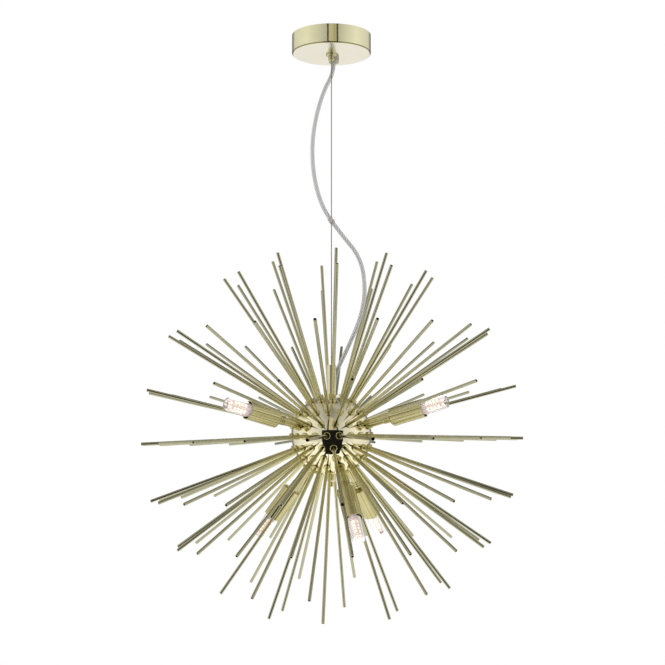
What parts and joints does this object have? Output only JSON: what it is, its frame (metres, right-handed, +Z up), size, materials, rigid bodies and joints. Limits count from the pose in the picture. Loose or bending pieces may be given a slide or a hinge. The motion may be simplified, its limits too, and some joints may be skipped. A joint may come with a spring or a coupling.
{
  "type": "sputnik chandelier",
  "caption": "Ball bristling with thin gold rods and small capsule lamps, hung on one steel wire from a round ceiling cup, with a clear slack cord clipped to the wire.",
  "frame": {"origin": "middle of the ceiling bracket's top face, on the ceiling plane and on the axis of the wire", "axes": "+Z up to the ceiling, -Y towards the viewer of the front, +X to the viewer's right"},
  "size_m": [0.5978, 0.598, 0.9284],
  "materials": {
    "bracket_steel": "zinc-plated steel",
    "canopy_gold": "polished champagne-gold plate",
    "gripper_metal": "nickel plate",
    "wire_steel": "bare stranded steel wire",
    "clear_plastic": "clear moulded plastic",
    "clear_cord": "clear sheath over a silver braid",
    "white_plastic": "moulded white plastic",
    "ball_gold": "mirror-polished pale gold plate",
    "inner_steel": "zinc-plated steel",
    "bush_rubber": "soft black rubber",
    "lead_sleeve": "woven white heat sleeve",
    "rod_gold": "pale gold, satin polished tube",
    "lamp_gold": "polished pale gold plate",
    "ceramic": "glazed white ceramic",
    "bulb_clear": "clear envelope over warm-white light points"
  },
  "bodies": {
    "ceiling_side": {"ceiling_bracket": "bracket_steel", "bracket_coupler": "bracket_steel", "canopy_cup": "canopy_gold", "gripper_body": "gripper_metal", "gripper_spring": "gripper_metal", "wire_anchor_end": "wire_steel", "cord_gland": "clear_plastic", "cord_gland_nut": "clear_plastic", "terminal_block": "white_plastic", "terminal_screws": "bracket_steel", "cord_tail": "clear_cord"},
    "release_plunger": {"gripper_plunger": "gripper_metal", "gripper_balls": "gripper_metal"},
    "wire_top": {"wire_flex_length": "wire_steel"},
    "hanging_wire": {"suspension_wire": "wire_steel", "wire_end_nipple": "gripper_metal", "cable_clip": "clear_plastic", "cord_upper_length": "clear_cord", "cord_lower_length": "clear_cord"},
    "burst": {"hanger_sleeve": "ball_gold", "ball_upper_shell": "ball_gold", "ball_lower_shell": "ball_gold", "centre_tie_tube": "inner_steel", "bottom_finial": "ball_gold", "cord_grommet": "bush_rubber", "connector_block": "white_plastic", "lamp_leads": "lead_sleeve", "crown_rods": "rod_gold", "upper_rods": "rod_gold", "shoulder_rods": "rod_gold", "upper_lamp_rods": "rod_gold", "equator_rods": "rod_gold", "waist_rods": "rod_gold", "skirt_rods": "rod_gold", "lower_lamp_rods": "rod_gold", "foot_rods": "rod_gold", "rod_collars": "rod_gold", "rod_nuts": "inner_steel", "arm_nuts": "inner_steel", "lampholders": "ceramic", "lamp_arm_1": "lamp_gold", "lamp_arm_2": "lamp_gold", "lamp_arm_3": "lamp_gold", "lamp_arm_4": "lamp_gold", "lamp_arm_5": "lamp_gold", "lamp_arm_6": "lamp_gold", "lamp_cup_1": "lamp_gold", "lamp_cup_2": "lamp_gold", "lamp_cup_3": "lamp_gold", "lamp_cup_4": "lamp_gold", "lamp_cup_5": "lamp_gold", "lamp_cup_6": "lamp_gold"},
    "bulb_1": {"bulb_1": "bulb_clear"},
    "bulb_2": {"bulb_2": "bulb_clear"},
    "bulb_3": {"bulb_3": "bulb_clear"},
    "bulb_4": {"bulb_4": "bulb_clear"},
    "bulb_5": {"bulb_5": "bulb_clear"},
    "bulb_6": {"bulb_6": "bulb_clear"}
  },
  "joints": [
    {"name": "plunger_push", "type": "slide", "parent": "ceiling_side", "child": "release_plunger", "axis": [0, 0, 1], "range_m": [0, 0.0025], "stiffness_N_per_m": 600, "springref_m": -0.002, "deforming": ["gripper_spring"]},
    {"name": "swing_side", "type": "hinge", "parent": "ceiling_side", "child": "wire_top", "pos_m": [0, 0, -0.045], "axis": [0, 1, 0], "range_deg": [-12, 12], "deforming": ["cord_upper_length"]},
    {"name": "swing_fore", "type": "hinge", "parent": "wire_top", "child": "hanging_wire", "pos_m": [0, 0, -0.053], "axis": [1, 0, 0], "range_deg": [-12, 12], "deforming": ["cord_upper_length"]},
    {"name": "burst_turn", "type": "hinge", "parent": "hanging_wire", "child": "burst", "pos_m": [0, 0, -0.5405], "axis": [0, 0, 1], "range_deg": [-60, 60], "deforming": ["cord_lower_length"]},
    {"name": "bulb_1_pull", "type": "slide", "parent": "burst", "child": "bulb_1", "axis": [0.8826, -0.3965, 0.2524], "range_m": [0, 0.06]},
    {"name": "bulb_2_pull", "type": "slide", "parent": "burst", "child": "bulb_2", "axis": [-0.1036, 0.966, 0.2369], "range_m": [0, 0.06]},
    {"name": "bulb_3_pull", "type": "slide", "parent": "burst", "child": "bulb_3", "axis": [-0.7903, -0.5694, 0.2261], "range_m": [0, 0.06]},
    {"name": "bulb_4_pull", "type": "slide", "parent": "burst", "child": "bulb_4", "axis": [0.2078, -0.5737, -0.7923], "range_m": [0, 0.06]},
    {"name": "bulb_5_pull", "type": "slide", "parent": "burst", "child": "bulb_5", "axis": [0.4116, 0.456, -0.7891], "range_m": [0, 0.06]},
    {"name": "bulb_6_pull", "type": "slide", "parent": "burst", "child": "bulb_6", "axis": [-0.5819, 0.1177, -0.8047], "range_m": [0, 0.06]}
  ]
}
